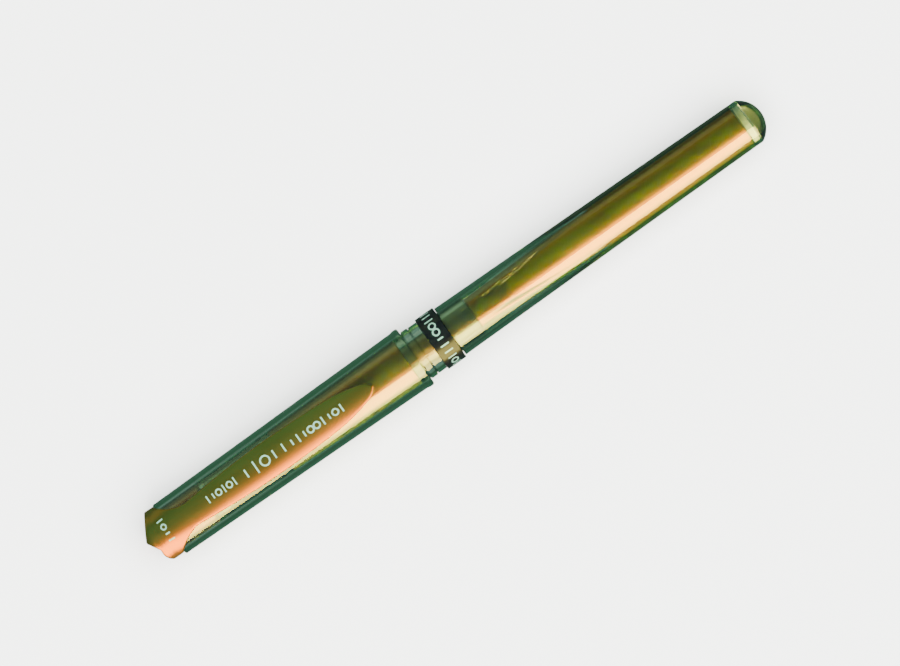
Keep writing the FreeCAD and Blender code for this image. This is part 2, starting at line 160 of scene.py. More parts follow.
def noiseOf(tree, size, detail=2.0, stretch=(1, 1, 1)):
    # noise whose features are about size millimetres across
    stretched = addNode(
        tree, "ShaderNodeVectorMath", settings={"operation": "MULTIPLY"},
        inputs={1: stretch}, links={0: objectPlace(tree)},
    )
    return addNode(
        tree, "ShaderNodeTexNoise",
        inputs={"Scale": 1 / (size * mm), "Detail": detail, "Roughness": 0.5},
        links={"Vector": stretched.outputs["Vector"]},
    ).outputs["Fac"]


def makeClearPlastic(name, faceOn, paintedEdgeShade, polish):
    # clear plastic, injection moulded in a polished tool: glassy and faintly green, with the slow
    # ripple that moulded walls have; where the wall is seen edge-on it turns dark green, partly the
    # tint along a longer path and mostly painted shade for the dark surroundings that those edges
    # reflect
    material, tree, shader = newMaterial(name, {
        "IOR": 1.57, "Transmission Weight": 1.0, "Roughness": polish,
    })
    facing = addNode(tree, "ShaderNodeLayerWeight", inputs={"Blend": 0.5}).outputs["Facing"]
    # the edge-on colour is painted shade, laid on by how far the wall turns away from the eye
    colourSpread(tree, shader, facing, faceOn, paintedEdgeShade, span=(0.37, 0.46))
    ripple = noiseOf(tree, grain["ripple"], stretch=(0.25, 1, 1))
    relief(tree, shader, ripple, 0.12, 0.05)
    return material


def makeGoldPlastic(name, low, high, gloss, sheen, shine=1.0):
    # plastic or ink coloured with gold mica: a green body colour under a strong orange-tinted
    # shine, with the flakes and the flow of the melt along the pen; the IOR is that of the
    # titanium dioxide skin on the flakes
    material, tree, shader = newMaterial(name, {
        "IOR": 2.4, "Specular IOR Level": shine, "Specular Tint": sheen,
    })
    flake = addNode(
        tree, "ShaderNodeTexVoronoi", inputs={"Scale": 1 / (grain["flake"] * mm)},
        links={"Vector": objectPlace(tree)},
    ).outputs["Distance"]
    flow = noiseOf(tree, grain["flow"], detail=3.0, stretch=(0.12, 1, 1))
    mixed = addNode(
        tree, "ShaderNodeMath", settings={"operation": "MULTIPLY_ADD"},
        inputs={1: 0.25}, links={0: flake, 2: flow},
    ).outputs["Value"]
    colourSpread(tree, shader, mixed, low, high, span=(0.4, 0.85))
    roughSpread(tree, shader, flow, gloss, gloss + 0.06)
    relief(tree, shader, flake, 0.03, 0.01)
    return material


def makeSolidPlastic(name, low, high, gloss, speckleSize, shine=0.5):
    # opaque moulded plastic with a fine texture from its tool
    material, tree, shader = newMaterial(name, {"IOR": 1.5, "Specular IOR Level": shine})
    speckle = noiseOf(tree, speckleSize, detail=4.0)
    colourSpread(tree, shader, speckle, low, high)
    roughSpread(tree, shader, speckle, gloss, gloss + 0.1)
    relief(tree, shader, speckle, 0.1, 0.01)
    return material


def makeTurnedSteel(name, low, high, gloss):
    # stainless steel turned on a small lathe: bright, with fine rings round it
    material, tree, shader = newMaterial(name, {"Metallic": 1.0})
    rings = addNode(
        tree, "ShaderNodeTexWave", settings={"bands_direction": "X"},
        inputs={"Scale": 1 / (grain["ring"] * mm), "Distortion": 0.4, "Detail": 2.0},
        links={"Vector": objectPlace(tree)},
    ).outputs["Fac"]
    colourSpread(tree, shader, rings, low, high, span=(0.0, 1.0))
    roughSpread(tree, shader, rings, gloss, gloss + 0.12)
    relief(tree, shader, rings, 0.15, 0.004)
    return material


def makeMilkyPlastic(name, tint, polish, through):
    # natural polypropylene or clear grease: cloudy and waxy, it lets most light through
    material, tree, shader = newMaterial(name, {
        "IOR": 1.49, "Transmission Weight": through, "Base Color": tint,
    })
    cloud = noiseOf(tree, grain["cloud"], stretch=(0.2, 1, 1))
    roughSpread(tree, shader, cloud, polish, polish + 0.15)
    relief(tree, shader, cloud, 0.08, 0.02)
    return material


# the second colour of each clear plastic is its painted edge shade
clearCap = makeClearPlastic("clear_polystyrene_cap", "#E6F0E6", "#1C5C34", 0.0)
clearBarrel = makeClearPlastic("clear_polystyrene_barrel", "#E6F0E6", "#205C38", 0.0)
clearInner = makeClearPlastic("clear_polypropylene_inner_cap", "#CFE2D2", "#1C5030", 0.06)
goldMoulding = makeGoldPlastic("gold_mica_abs", "#08260E", "#0E3014", 0.26, "#FF7C20", shine=0.6)
goldLiner = makeGoldPlastic("gold_mica_liner", "#145428", "#1A5E2E", 0.28, "#FF9024")
goldRubber = makeGoldPlastic("gold_mica_rubber", "#2C6034", "#366A3C", 0.3, "#FF8828")
blackPlastic = makeSolidPlastic("black_abs_gloss", "#05060A", "#0B100E", 0.2, 0.8, shine=0.2)
whitePlastic = makeSolidPlastic("white_acetal", "#EDEBE6", "#F7F5F0", 0.3, 0.5)
sealRubber = makeSolidPlastic("soft_white_elastomer", "#CFCDC4", "#DAD8D0", 0.55, 0.4)
printInk = makeSolidPlastic("pale_green_pad_print", "#557A66", "#64907A", 0.35, 0.25)
pointSteel = makeTurnedSteel("turned_stainless_point", "#B8B6B0", "#D6D4CE", 0.12)
springSteel = makeTurnedSteel("drawn_spring_wire", "#A9A7A2", "#C9C7C2", 0.2)
ballCarbide = makeTurnedSteel("ground_carbide_ball", "#8A898C", "#9C9B9E", 0.08)
milkyTube = makeMilkyPlastic("natural_polypropylene_tube", "#EEF4EC", 0.12, 0.9)
greaseGel = makeMilkyPlastic("clear_follower_grease", "#E6EEDC", 0.05, 0.85)
goldInk = makeGoldPlastic("gold_pigment_ink", "#5E6A28", "#707A30", 0.4, "#FF9560")
print("materials made")


# ---- turned pieces ----

def roundedOutline(outline):
    # replaces each corner that has a round with points along the round
    points = []
    count = len(outline)
    for index, corner in enumerate(outline):
        here = Vector(corner[:2])
        size = corner[2] if len(corner) > 2 else 0
        if not size:
            points.append(here)
            continue
        before = Vector(outline[index - 1][:2]) - here
        after = Vector(outline[(index + 1) % count][:2]) - here
        reach = min(size, before.length * 0.48, after.length * 0.48)
        start = here + before.normalized() * reach
        end = here + after.normalized() * reach
        for step in range(lathe["cornerSteps"] + 1):
            t = step / lathe["cornerSteps"]
            points.append(start * (1 - t) ** 2 + here * 2 * t * (1 - t) + end * t ** 2)
    return points


def addTurned(mesh, outline, closed):
    # spins an outline round the pen's axis; an open outline starts and ends on the axis
    points = roundedOutline(outline)
    around = lathe["around"]
    rings = []
    for point in points:
        if point.y < 1e-6:
            rings.append([mesh.verts.new(onPen(point.x, 0, 0))])
            continue
        ring = []
        for step in range(around):
            angle = math.tau * step / around
            across = point.y * math.sin(angle)
            height = point.y * math.cos(angle)
            ring.append(mesh.verts.new(onPen(point.x, across, height)))
        rings.append(ring)
    pairs = list(zip(rings, rings[1:]))
    if closed:
        pairs.append((rings[-1], rings[0]))
    for first, second in pairs:
        for step in range(around):
            after = (step + 1) % around
            corners = [first[step % len(first)], first[after % len(first)]]
            corners += [second[after % len(second)], second[step % len(second)]]
            unique = list(dict.fromkeys(corners))
            if len(unique) > 2:
                mesh.faces.new(unique)


def finishPiece(name, mesh, material, body, nodes):
    bmesh.ops.recalc_face_normals(mesh, faces=mesh.faces)
    data = bpy.data.meshes.new(name)
    mesh.to_mesh(data)
    mesh.free()
    data.shade_smooth()
    data.set_sharp_from_angle(angle=math.radians(lathe["sharpOver"]))
    piece = bpy.data.objects.new(name, data)
    scene.collection.objects.link(piece)
    dressPiece(piece, material, body, nodes)
    return piece


def dressPiece(piece, material, body, nodes):
    # gives a finished piece its material and its body, and hides the CAD nodes it stands for
    piece.data.materials.clear()
    piece.data.materials.append(material)
    if body:
        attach(piece, body)
    if nodes:
        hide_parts(*nodes)


def turnedPiece(name, outline, material, body, nodes, closed=True):
    mesh = bmesh.new()
    addTurned(mesh, outline, closed)
    return finishPiece(name, mesh, material, body, nodes)


# ---- cap ----

capShell = {
    "start": 5.2, "startRadius": 5.9, "beadStart": 63.8, "endRadius": 6.6, "rimRadius": 6.75,
    "mouth": 65.4, "mouthBore": 5.45, "sealStart": 15.0, "sealBore": 4.7, "plugBore": 4.6,
    "beadRun": 0.5, "rimRound": 0.55, "edgeRound": 0.25,
}
turnedPiece("cap_shell_clear", [
    (capShell["start"], capShell["plugBore"], 0.1),
    (capShell["start"], capShell["startRadius"], capShell["edgeRound"]),
    (capShell["beadStart"], capShell["endRadius"], capShell["edgeRound"]),
    (capShell["beadStart"] + capShell["beadRun"], capShell["rimRadius"], capShell["edgeRound"]),
    (capShell["mouth"], capShell["rimRadius"], capShell["rimRound"]),
    (capShell["mouth"], capShell["mouthBore"], capShell["edgeRound"]),
    (capShell["sealStart"], capShell["sealBore"], 0.08),
    (capShell["sealStart"], capShell["plugBore"], 0.05),
], clearCap, "cap", ["cap_shell"])

innerCap = {
    "start": 15.03, "flangeRadius": 4.56, "flange": 1.2, "flangeRun": 0.1, "radius": 4.45,
    "ring": 29.4, "ringRadius": 4.88, "mouth": 30.7, "bore": 3.95, "floor": 0.9,
}
turnedPiece("inner_cap_clear", [
    (innerCap["start"], 0),
    (innerCap["start"], innerCap["flangeRadius"], 0.2),
    (innerCap["start"] + innerCap["flange"], innerCap["flangeRadius"], 0.1),
    (innerCap["start"] + innerCap["flange"] + innerCap["flangeRun"], innerCap["radius"], 0.1),
    (innerCap["ring"], innerCap["radius"], 0.1),
    (innerCap["ring"], innerCap["ringRadius"], 0.2),
    (innerCap["mouth"], innerCap["ringRadius"], 0.2),
    (innerCap["mouth"], innerCap["bore"], 0.25),
    (innerCap["start"] + innerCap["floor"], innerCap["bore"], 0.5),
    (innerCap["start"] + innerCap["floor"], 0),
], clearInner, "cap", ["inner_cap"], closed=False)

tipSeal = {
    "start": 15.96, "radius": 3.9, "taper": 1.2, "end": 18.42, "face": 1.7, "dish": 0.25,
    "dishRadius": 1.0,
}
turnedPiece("tip_seal_pad", [
    (tipSeal["start"], 0),
    (tipSeal["start"], tipSeal["radius"], 0.2),
    (tipSeal["end"] - tipSeal["taper"], tipSeal["radius"], 0.3),
    (tipSeal["end"], tipSeal["face"], 0.4),
    (tipSeal["end"] - tipSeal["dish"], tipSeal["dishRadius"], 0.2),
    (tipSeal["end"] - tipSeal["dish"], 0),
], sealRubber, "cap", ["tip_seal"], closed=False)
print("cap made")


# ---- crown and clip ----

clip = {
    "voxel": 0.16 * mm, "smoothing": 10, "smoothFactor": 0.5,
    "flexStart": 8.5, "flexEnd": 14.5, "flexRadius": 7.9,
}


def copyOfNode(name):
    # a copy of a CAD node's mesh with its loose triangles joined
    mesh = bmesh.new()
    mesh.from_mesh(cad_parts[name].data)
    bmesh.ops.remove_doubles(mesh, verts=mesh.verts, dist=0.002 * mm)
    return mesh


def applyModifiers(piece):
    # keeps what the piece's modifiers make, and drops the modifiers
    graph = bpy.context.evaluated_depsgraph_get()
    made = bpy.data.meshes.new_from_object(piece.evaluated_get(graph), depsgraph=graph)
    piece.modifiers.clear()
    old = piece.data
    piece.data = made
    made.name = piece.name
    bpy.data.meshes.remove(old)
    return piece


def makeClip():
    # crown and clip are one moulding: both CAD solids are run together and their edges softened
    mesh = bmesh.new()
    for node in ("crown", "clip_arm"):
        part = copyOfNode(node)
        data = bpy.data.meshes.new(node)
        part.to_mesh(data)
        part.free()
        mesh.from_mesh(data)
        bpy.data.meshes.remove(data)
    data = bpy.data.meshes.new("crown_and_clip")
    mesh.to_mesh(data)
    mesh.free()
    piece = bpy.data.objects.new("crown_and_clip", data)
    scene.collection.objects.link(piece)
    remesh = piece.modifiers.new("runTogether", "REMESH")
    remesh.mode = "VOXEL"
    remesh.voxel_size = clip["voxel"]
    smooth = piece.modifiers.new("softEdges", "SMOOTH")
    smooth.factor = clip["smoothFactor"]
    smooth.iterations = clip["smoothing"]
    applyModifiers(piece)
    piece.data.shade_smooth()
    dressPiece(piece, goldMoulding, None, ["crown", "clip_arm"])
    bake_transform(piece)
    return piece


crownAndClip = makeClip()
print("crown and clip made:", len(crownAndClip.data.polygons), "faces")


# ---- front half ----

noseCone = {
    "start": 22.0, "startRadius": 2.3, "bulge": 26.3, "bulgeRadius": 3.15, "taperEnd": 30.0,
    "taperRadius": 3.6, "flange": 30.9, "flangeRadius": 4.5, "end": 32.4, "pointBore": 1.22,
    "holderSeat": 24.4, "holderBore": 2.25, "spigotSeat": 27.97, "spigotBore": 3.03,
}
turnedPiece("nose_cone_clear", [
    (noseCone["start"], noseCone["pointBore"], 0.1),
    (noseCone["start"], noseCone["startRadius"], 0.35),
    (noseCone["bulge"], noseCone["bulgeRadius"], 3.0),
    (noseCone["taperEnd"], noseCone["taperRadius"], 0.5),
    (noseCone["flange"], noseCone["taperRadius"], 0.3),
    (noseCone["flange"], noseCone["flangeRadius"], 0.2),
    (noseCone["end"], noseCone["flangeRadius"], 0.1),
    (noseCone["end"], noseCone["spigotBore"], 0.1),
    (noseCone["spigotSeat"], noseCone["spigotBore"], 0.1),
    (noseCone["spigotSeat"], noseCone["holderBore"], 0.1),
    (noseCone["holderSeat"], noseCone["holderBore"], 0.1),
    (noseCone["holderSeat"], noseCone["pointBore"], 0.1),
], clearInner, "front", ["nose_cone"])

frontBody = {
    "start": 28.0, "frontBore": 2.3, "spigotRadius": 3.0, "gripStart": 32.43, "gripSeat": 4.0,
    "gripEnd": 63.53, "capSeat": 5.3, "collar": 65.6, "collarEnd": 67.1, "collarRadius": 5.6,
    "groove": 5.15, "second": 67.3, "secondRadius": 5.5, "band": 69.3, "bandEnd": 73.7,
    "bandSeat": 5.0, "spigot": 4.62, "spigotEnd": 4.57, "end": 79.6, "bore": 3.15, "stop": 39.0,
}
turnedPiece("front_body_clear", [
    (frontBody["start"], frontBody["frontBore"], 0.1),
    (frontBody["start"], frontBody["spigotRadius"], 0.2),
    (frontBody["gripStart"], frontBody["spigotRadius"], 0.1),
    (frontBody["gripStart"], frontBody["gripSeat"], 0.1),
    (frontBody["gripEnd"], frontBody["gripSeat"], 0.1),
    (frontBody["gripEnd"], frontBody["capSeat"], 0.2),
    (frontBody["collar"] - 0.3, frontBody["capSeat"], 0.1),
    (frontBody["collar"], frontBody["capSeat"], 0.08),
    (frontBody["collar"], frontBody["collarRadius"], 0.4),
    (frontBody["collarEnd"], frontBody["collarRadius"], 0.4),
    (frontBody["collarEnd"], frontBody["groove"], 0.08),
    (frontBody["second"], frontBody["groove"], 0.08),
    (frontBody["second"], frontBody["secondRadius"], 0.2),
    (frontBody["band"], frontBody["secondRadius"], 0.08),
    (frontBody["band"], frontBody["bandSeat"], 0.05),
    (frontBody["bandEnd"], frontBody["bandSeat"], 0.05),
    (frontBody["bandEnd"], frontBody["spigot"], 0.05),
    (frontBody["end"], frontBody["spigotEnd"], 0.3),
    (frontBody["end"], frontBody["bore"], 0.2),
    (frontBody["stop"], frontBody["bore"], 0.1),
    (frontBody["stop"], frontBody["frontBore"], 0.1),
], clearBarrel, "front", ["front_body"])

gripSleeve = {
    "start": 32.46, "end": 63.5, "seat": 4.03, "frontRadius": 4.7, "rearRadius": 5.2,
    "endRound": 0.35,
}
turnedPiece("grip_sleeve_gold", [
    (gripSleeve["start"], gripSleeve["seat"]),
    (gripSleeve["start"], gripSleeve["frontRadius"], gripSleeve["endRound"]),
    (gripSleeve["end"], gripSleeve["rearRadius"], gripSleeve["endRound"]),
    (gripSleeve["end"], gripSleeve["seat"]),
], goldRubber, "front", ["grip_sleeve"])

bandRing = {"start": 69.33, "end": 73.7, "radius": 5.98, "bore": 5.03, "edgeRound": 0.22}
bandPiece = turnedPiece("band_ring_black", [
    (bandRing["start"], bandRing["bore"]),
    (bandRing["start"], bandRing["radius"], bandRing["edgeRound"]),
    (bandRing["end"], bandRing["radius"], bandRing["edgeRound"]),
    (bandRing["end"], bandRing["bore"]),
], blackPlastic, "front", ["band_ring"])
print("front half made")


# ---- refill ----

refillPoint = {
    "rim": 18.75, "rimBore": 0.456, "rimRadius": 0.55, "waist": 20.5, "waistRadius": 0.93,
    "coneEnd": 21.4, "radius": 1.15, "shank": 25.0, "shankRadius": 0.85, "end": 28.5,
    "channel": 0.42, "seatBack": 19.3, "seat": 19.0, "seatRadius": 0.515,
}
turnedPiece("tip_body_steel", [
    (refillPoint["rim"], refillPoint["rimBore"]),
    (refillPoint["rim"], refillPoint["rimRadius"], 0.05),
    (refillPoint["waist"], refillPoint["waistRadius"], 0.4),
    (refillPoint["coneEnd"], refillPoint["radius"], 0.2),
    (refillPoint["shank"], refillPoint["radius"], 0.1),
    (refillPoint["shank"], refillPoint["shankRadius"], 0.05),
    (refillPoint["end"], refillPoint["shankRadius"], 0.1),
    (refillPoint["end"], refillPoint["channel"]),
    (refillPoint["seatBack"], refillPoint["channel"], 0.05),
    (refillPoint["seat"], refillPoint["seatRadius"], 0.2),
], pointSteel, "refill", ["tip_body"])

tipHolder = {
    "start": 24.6, "pointBore": 1.18, "noseRadius": 1.85, "nose": 0.6, "radius": 2.15,
    "step": 39.1, "plug": 2.42,
    "end": 43.0, "channel": 0.6, "cage": 31.0, "cageEnd": 33.6, "cageRadius": 1.35, "cone": 34.2,
    "shankBore": 0.88,
}
turnedPiece("tip_holder_white", [
    (tipHolder["start"], tipHolder["pointBore"]),
    (tipHolder["start"], tipHolder["noseRadius"], 0.1),
    (tipHolder["start"] + tipHolder["nose"], tipHolder["radius"], 0.2),
    (tipHolder["step"], tipHolder["radius"], 0.05),
    (tipHolder["step"], tipHolder["plug"], 0.05),
    (tipHolder["end"], tipHolder["plug"], 0.2),
    (tipHolder["end"], tipHolder["channel"], 0.1),
    (tipHolder["cone"], tipHolder["channel"]),
    (tipHolder["cageEnd"], tipHolder["cageRadius"], 0.1),
    (tipHolder["cage"], tipHolder["cageRadius"], 0.1),
    (tipHolder["cage"], tipHolder["channel"]),
    (refillPoint["end"] + fitGap, tipHolder["channel"]),
    (refillPoint["end"] + fitGap, tipHolder["shankBore"]),
    (refillPoint["shank"] + fitGap, tipHolder["shankBore"]),
    (refillPoint["shank"] + fitGap, tipHolder["pointBore"]),
], whitePlastic, "refill", ["tip_holder"])

refillTube = {"start": 39.2, "end": 128.0, "radius": 3.0, "bore": 2.4, "edgeRound": 0.15}
turnedPiece("refill_tube_natural", [
    (refillTube["start"], refillTube["bore"]),
    (refillTube["start"], refillTube["radius"], refillTube["edgeRound"]),
    (refillTube["end"], refillTube["radius"], refillTube["edgeRound"]),
    (refillTube["end"], refillTube["bore"]),
], milkyTube, "refill", ["refill_tube"])

refillStop = {"start": 126.0, "radius": 2.42, "flange": 128.03, "end": 129.2, "vent": 0.4}
turnedPiece("refill_stop_white", [
    (refillStop["start"], refillStop["vent"], 0.1),
    (refillStop["start"], refillStop["radius"], 0.3),
    (refillStop["flange"], refillStop["radius"], 0.05),
    (refillStop["flange"], refillTube["radius"], 0.1),
    (refillStop["end"], refillTube["radius"], 0.2),
    (refillStop["end"], refillStop["vent"], 0.2),
], whitePlastic, "refill", ["refill_stop"])

# the ink and the grease reach a little into the tube's wall, so that no air shows between them
ink = {"start": 43.03, "end": 100.0, "radius": 2.42, "meniscus": 0.8, "meniscusRadius": 1.452}
inkPiece = turnedPiece("ink_column_gold", [
    (ink["start"], 0),
    (ink["start"], ink["radius"], 0.3),
    (ink["end"], ink["radius"], 0.1),
    (ink["end"] - ink["meniscus"], ink["meniscusRadius"], 1.2),
    (ink["end"] - ink["meniscus"], 0),
], goldInk, "refill", ["ink_column"], closed=False)
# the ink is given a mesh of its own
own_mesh(inkPiece)

follower = {
    "end": 108.0, "bore": 1.63, "floatRadius": 1.6, "margin": 1.2, "meniscus": 0.7,
    "rimRadius": 1.73, "hollow": 1.0, "hollowRadius": 0.6,
}
turnedPiece("follower_grease_clear", [
    (ink["end"] + fitGap, 0),
    (ink["end"] + fitGap, ink["radius"], 0.1),
    (follower["end"], ink["radius"], 0.05),
    (follower["end"] - follower["meniscus"], follower["rimRadius"], 0.5),
    (ink["end"] + follower["margin"] - fitGap, follower["bore"], 0.1),
    (ink["end"] + follower["margin"] - fitGap, 0),
], greaseGel, "follower", ["follower_grease"], closed=False)
turnedPiece("follower_float_rod", [
    (ink["end"] + follower["margin"], 0),
    (ink["end"] + follower["margin"], follower["floatRadius"], 0.5),
    (follower["end"] + follower["margin"], follower["floatRadius"], 0.25),
    (follower["end"] + follower["margin"] - follower["hollow"], follower["hollowRadius"], 0.2),
    (follower["end"] + follower["margin"] - follower["hollow"], 0),
], milkyTube, "follower", ["follower_float"], closed=False)
print("refill made")


# ---- barrel ----

barrel = {
    "start": 73.85, "startRadius": 5.6, "end": 145.3, "endRadius": 4.98, "wall": 0.95,
    "boreShare": 0.9, "linerStart": 79.8, "linerRadius": 3.66, "linerWall": 0.36,
    "linerFull": 110.0, "linerEnd": 145.1,
}
# stations and angles from the top between which the clear wall fills the gap round the liner
bond = {
    "first": 80.0, "last": 124.0, "steps": 110, "topTo": 58.0, "topBlend": 32.0, "front": 84.0,
    "run": 24.0, "sideFrom": 112.0, "sideSpan": 58.0, "soft": 10.0, "depth": 0.04,
}


def barrelRadius(distance):
    share = (distance - barrel["start"]) / (barrel["end"] - barrel["start"])
    return barrel["startRadius"] + (barrel["endRadius"] - barrel["startRadius"]) * share


def linerRadius(distance):
    # the liner's outer radius where it fills the barrel's bore
    return barrelRadius(distance) - barrel["wall"] - fitGap


def linerAt(distance):
    # the liner's outer radius: necked in at the front, filling the bore from linerFull on
    share = (distance - barrel["linerStart"]) / (barrel["linerFull"] - barrel["linerStart"])
    full = linerRadius(barrel["linerFull"])
    neck = barrel["linerRadius"] + (full - barrel["linerRadius"]) * share
    return linerRadius(distance) if share > 1 else neck


def bondShare(distance, angle):
    # how far the clear wall has filled the gap round the liner, at an angle from the top: filled
    # over the top from the front, and along the sides only behind a slanting front
    side = min(max((bond["sideFrom"] - angle) / bond["sideSpan"], 0), 1)
    front = bond["front"] + bond["run"] * side
    top = min(max((bond["topTo"] - angle) / bond["topBlend"], 0), 1)
    front += (bond["first"] - front) * top
    share = min(max((distance - front) / bond["soft"], 0), 1)
    return share * share * (3 - 2 * share)


def makeBarrel():
    mesh = bmesh.new()
    stations = [barrel["start"], bond["first"]]
    steps = bond["steps"]
    run = bond["last"] - bond["first"]
    stations += [bond["first"] + run * (step + 1) / steps for step in range(steps)]
    stations.append(barrel["end"])
    outline = [(x, barrelRadius(x) - barrel["wall"]) for x in reversed(stations)]
    outline += [
        (barrel["start"], barrel["startRadius"], 0.15),
        (barrel["end"], barrel["endRadius"], 0.1),
    ]
    addTurned(mesh, outline, True)
    for vertex in mesh.verts:
        place = vertex.co - Vector((0, 0, axisHeight))
        distance = (place.x - penStart) / mm
        radius = math.hypot(place.y, place.z) / mm
        if radius > barrelRadius(distance) - barrel["wall"] * barrel["boreShare"]:
            continue
        angle = math.degrees(math.acos(max(-1, min(1, place.z / mm / radius))))
        share = bondShare(distance, angle)
        filled = linerAt(max(distance, barrel["linerStart"])) - bond["depth"]
        scale = (radius + (filled - radius) * share) / radius
        vertex.co = Vector((place.x, place.y * scale, place.z * scale + axisHeight))
    return finishPiece("barrel_clear", mesh, clearBarrel, "barrel", ["barrel"])


makeBarrel()

turnedPiece("barrel_liner_gold", [
    (barrel["linerStart"], barrel["linerRadius"] - barrel["linerWall"]),
    (barrel["linerStart"], barrel["linerRadius"], 0.15),
    (barrel["linerFull"], linerRadius(barrel["linerFull"])),
    (barrel["linerEnd"], linerRadius(barrel["linerEnd"]), 0.05),
    (barrel["linerEnd"], linerRadius(barrel["linerEnd"]) - barrel["linerWall"]),
    (barrel["linerFull"], linerRadius(barrel["linerFull"]) - barrel["linerWall"]),
], goldLiner, "barrel", ["barrel_liner"])

tail = {
    "spigot": 140.5, "spigotRadius": 3.55, "start": 145.33, "radius": 4.98, "shoulder": 147.0,
    "end": 150.0, "discRadius": 4.35, "discDepth": 1.4, "domeSteps": 14,
}


def domeOutline():
    # a circular arc from the shoulder to the pole
    rise = tail["end"] - tail["shoulder"]
    radius = (tail["radius"] ** 2 + rise ** 2) / (2 * rise)
    centre = tail["end"] - radius
    spread = math.asin(tail["radius"] / radius)
    steps = tail["domeSteps"]
    angles = [spread * (1 - step / steps) for step in range(1, steps)]
    return [(centre + radius * math.cos(a), radius * math.sin(a)) for a in angles]


turnedPiece("tail_plug_clear", [
    (tail["spigot"], 0),
    (tail["spigot"], tail["spigotRadius"], 0.3),
    (tail["start"] + tail["discDepth"], tail["spigotRadius"], 0.05),
    (tail["start"] + tail["discDepth"], tail["discRadius"], 0.05),
    (tail["start"], tail["discRadius"], 0.05),
    (tail["start"], tail["radius"], 0.12),
    (tail["shoulder"], tail["radius"], 0.6),
    *domeOutline(),
    (tail["end"], 0),
], clearBarrel, "barrel", ["tail_plug"], closed=False)

turnedPiece("tail_disc_white", [
    (tail["start"] + fitGap, tail["spigotRadius"] + fitGap, 0.05),
    (tail["start"] + fitGap, tail["discRadius"] - fitGap, 0.1),
    (tail["start"] + tail["discDepth"] - fitGap, tail["discRadius"] - fitGap, 0.1),
    (tail["start"] + tail["discDepth"] - fitGap, tail["spigotRadius"] + fitGap, 0.05),
], whitePlastic, "barrel", ["tail_disc"])
print("barrel made")


# ---- spring, and the printed marks ----

def newTree(name, inputs):
    # a Geometry Nodes tree with named inputs: (name, socket type, value)
    tree = bpy.data.node_groups.new(name, "GeometryNodeTree")
    tree.interface.new_socket("Geometry", in_out="OUTPUT", socket_type="NodeSocketGeometry")
    for label, kind, value in inputs:
        socket = tree.interface.new_socket(label, in_out="INPUT", socket_type=kind)
        if value is not None:
            socket.default_value = value
    entry = addNode(tree, "NodeGroupInput")
    return tree, entry.outputs


def closeTree(tree, geometry, material):
    realized = addNode(tree, "GeometryNodeRealizeInstances", links={"Geometry": geometry})
    painted = addNode(
        tree, "GeometryNodeSetMaterial", inputs={"Material": material},
        links={"Geometry": realized.outputs[0]},
    )
    addNode(tree, "NodeGroupOutput", links={"Geometry": painted.outputs[0]})


def treePiece(name, tree, values):
    # runs the tree on an empty mesh and keeps what it makes as a plain mesh
    piece = bpy.data.objects.new(name, bpy.data.meshes.new(name))
    scene.collection.objects.link(piece)
    modifier = piece.modifiers.new("nodes", "NODES")
    modifier.node_group = tree
    for socket in tree.interface.items_tree:
        if socket.in_out == "INPUT" and socket.name in values:
            modifier[socket.identifier] = values[socket.name]
    return applyModifiers(piece)


def maths(tree, operation, first, second=None):
    # one Math node; a number goes in as a value and a socket as a link
    node = addNode(tree, "ShaderNodeMath", settings={"operation": operation})
    for index, item in enumerate((first, second)):
        if isinstance(item, (int, float)):
            node.inputs[index].default_value = item
        elif item is not None:
            tree.links.new(item, node.inputs[index])
    return node.outputs["Value"]


spring = {
    "ballEnd": 19.53, "coilStart": 21.0, "coilLength": 5.0, "coilRadius": 0.3, "wire": 0.05,
    "pitch": 0.36, "perTurn": 20,
}


def springTree():
    # an evenly wound coil, with the wire's end brought to the middle and straight on to the ball
    tree, given = newTree("ballSpring", [
        ("Coil radius", "NodeSocketFloat", spring["coilRadius"] * mm),
        ("Coil length", "NodeSocketFloat", spring["coilLength"] * mm),
        ("Pitch", "NodeSocketFloat", spring["pitch"] * mm),
        ("Wire radius", "NodeSocketFloat", spring["wire"] * mm),
        ("Straight end", "NodeSocketVector", (0, 0, 0)),
    ])
    coil = addNode(
        tree, "GeometryNodeCurveSpiral", inputs={"Resolution": spring["perTurn"]},
        links={
            "Rotations": maths(tree, "DIVIDE", given["Coil length"], given["Pitch"]),
            "Start Radius": given["Coil radius"], "End Radius": given["Coil radius"],
            "Height": given["Coil length"],
        },
    )
    corner = addNode(tree, "ShaderNodeCombineXYZ", links={"X": given["Coil radius"]})
    across = addNode(tree, "GeometryNodeCurvePrimitiveLine", links={"Start": corner.outputs[0]})
    straight = addNode(
        tree, "GeometryNodeCurvePrimitiveLine", links={"End": given["Straight end"]},
    )
    across.inputs["End"].default_value = (0, 0, 0)
    wire = addNode(tree, "GeometryNodeJoinGeometry")
    for curve in (coil, across, straight):
        tree.links.new(curve.outputs["Curve"], wire.inputs[0])
    section = addNode(
        tree, "GeometryNodeCurvePrimitiveCircle", inputs={"Resolution": 10},
        links={"Radius": given["Wire radius"]},
    )
    solid = addNode(
        tree, "GeometryNodeCurveToMesh", inputs={"Fill Caps": True},
        links={"Curve": wire.outputs[0], "Profile Curve": section.outputs["Curve"]},
    )
    turned = addNode(
        tree, "GeometryNodeTransform",
        inputs={
            "Rotation": (0, math.pi / 2, 0),
            "Translation": onPen(spring["coilStart"], 0, 0),
        },
        links={"Geometry": solid.outputs["Mesh"]},
    )
    closeTree(tree, turned.outputs["Geometry"], springSteel)
    return tree


def makeSpring():
    reach = (spring["ballEnd"] - spring["coilStart"]) * mm
    piece = treePiece("ball_spring_wire", springTree(), {"Straight end": (0, 0, reach)})
    piece.data.shade_smooth()
    dressPiece(piece, springSteel, "refill", ["ball_spring"])
    print("spring made:", len(piece.data.polygons), "faces")


marks = {
    "seed": 7, "barColumns": 3, "barRows": 9, "ringSteps": 28, "ringShare": 0.36,
    "shortShare": 0.66, "lift": 0.012, "depth": 0.02, "outside": 14.0,
}


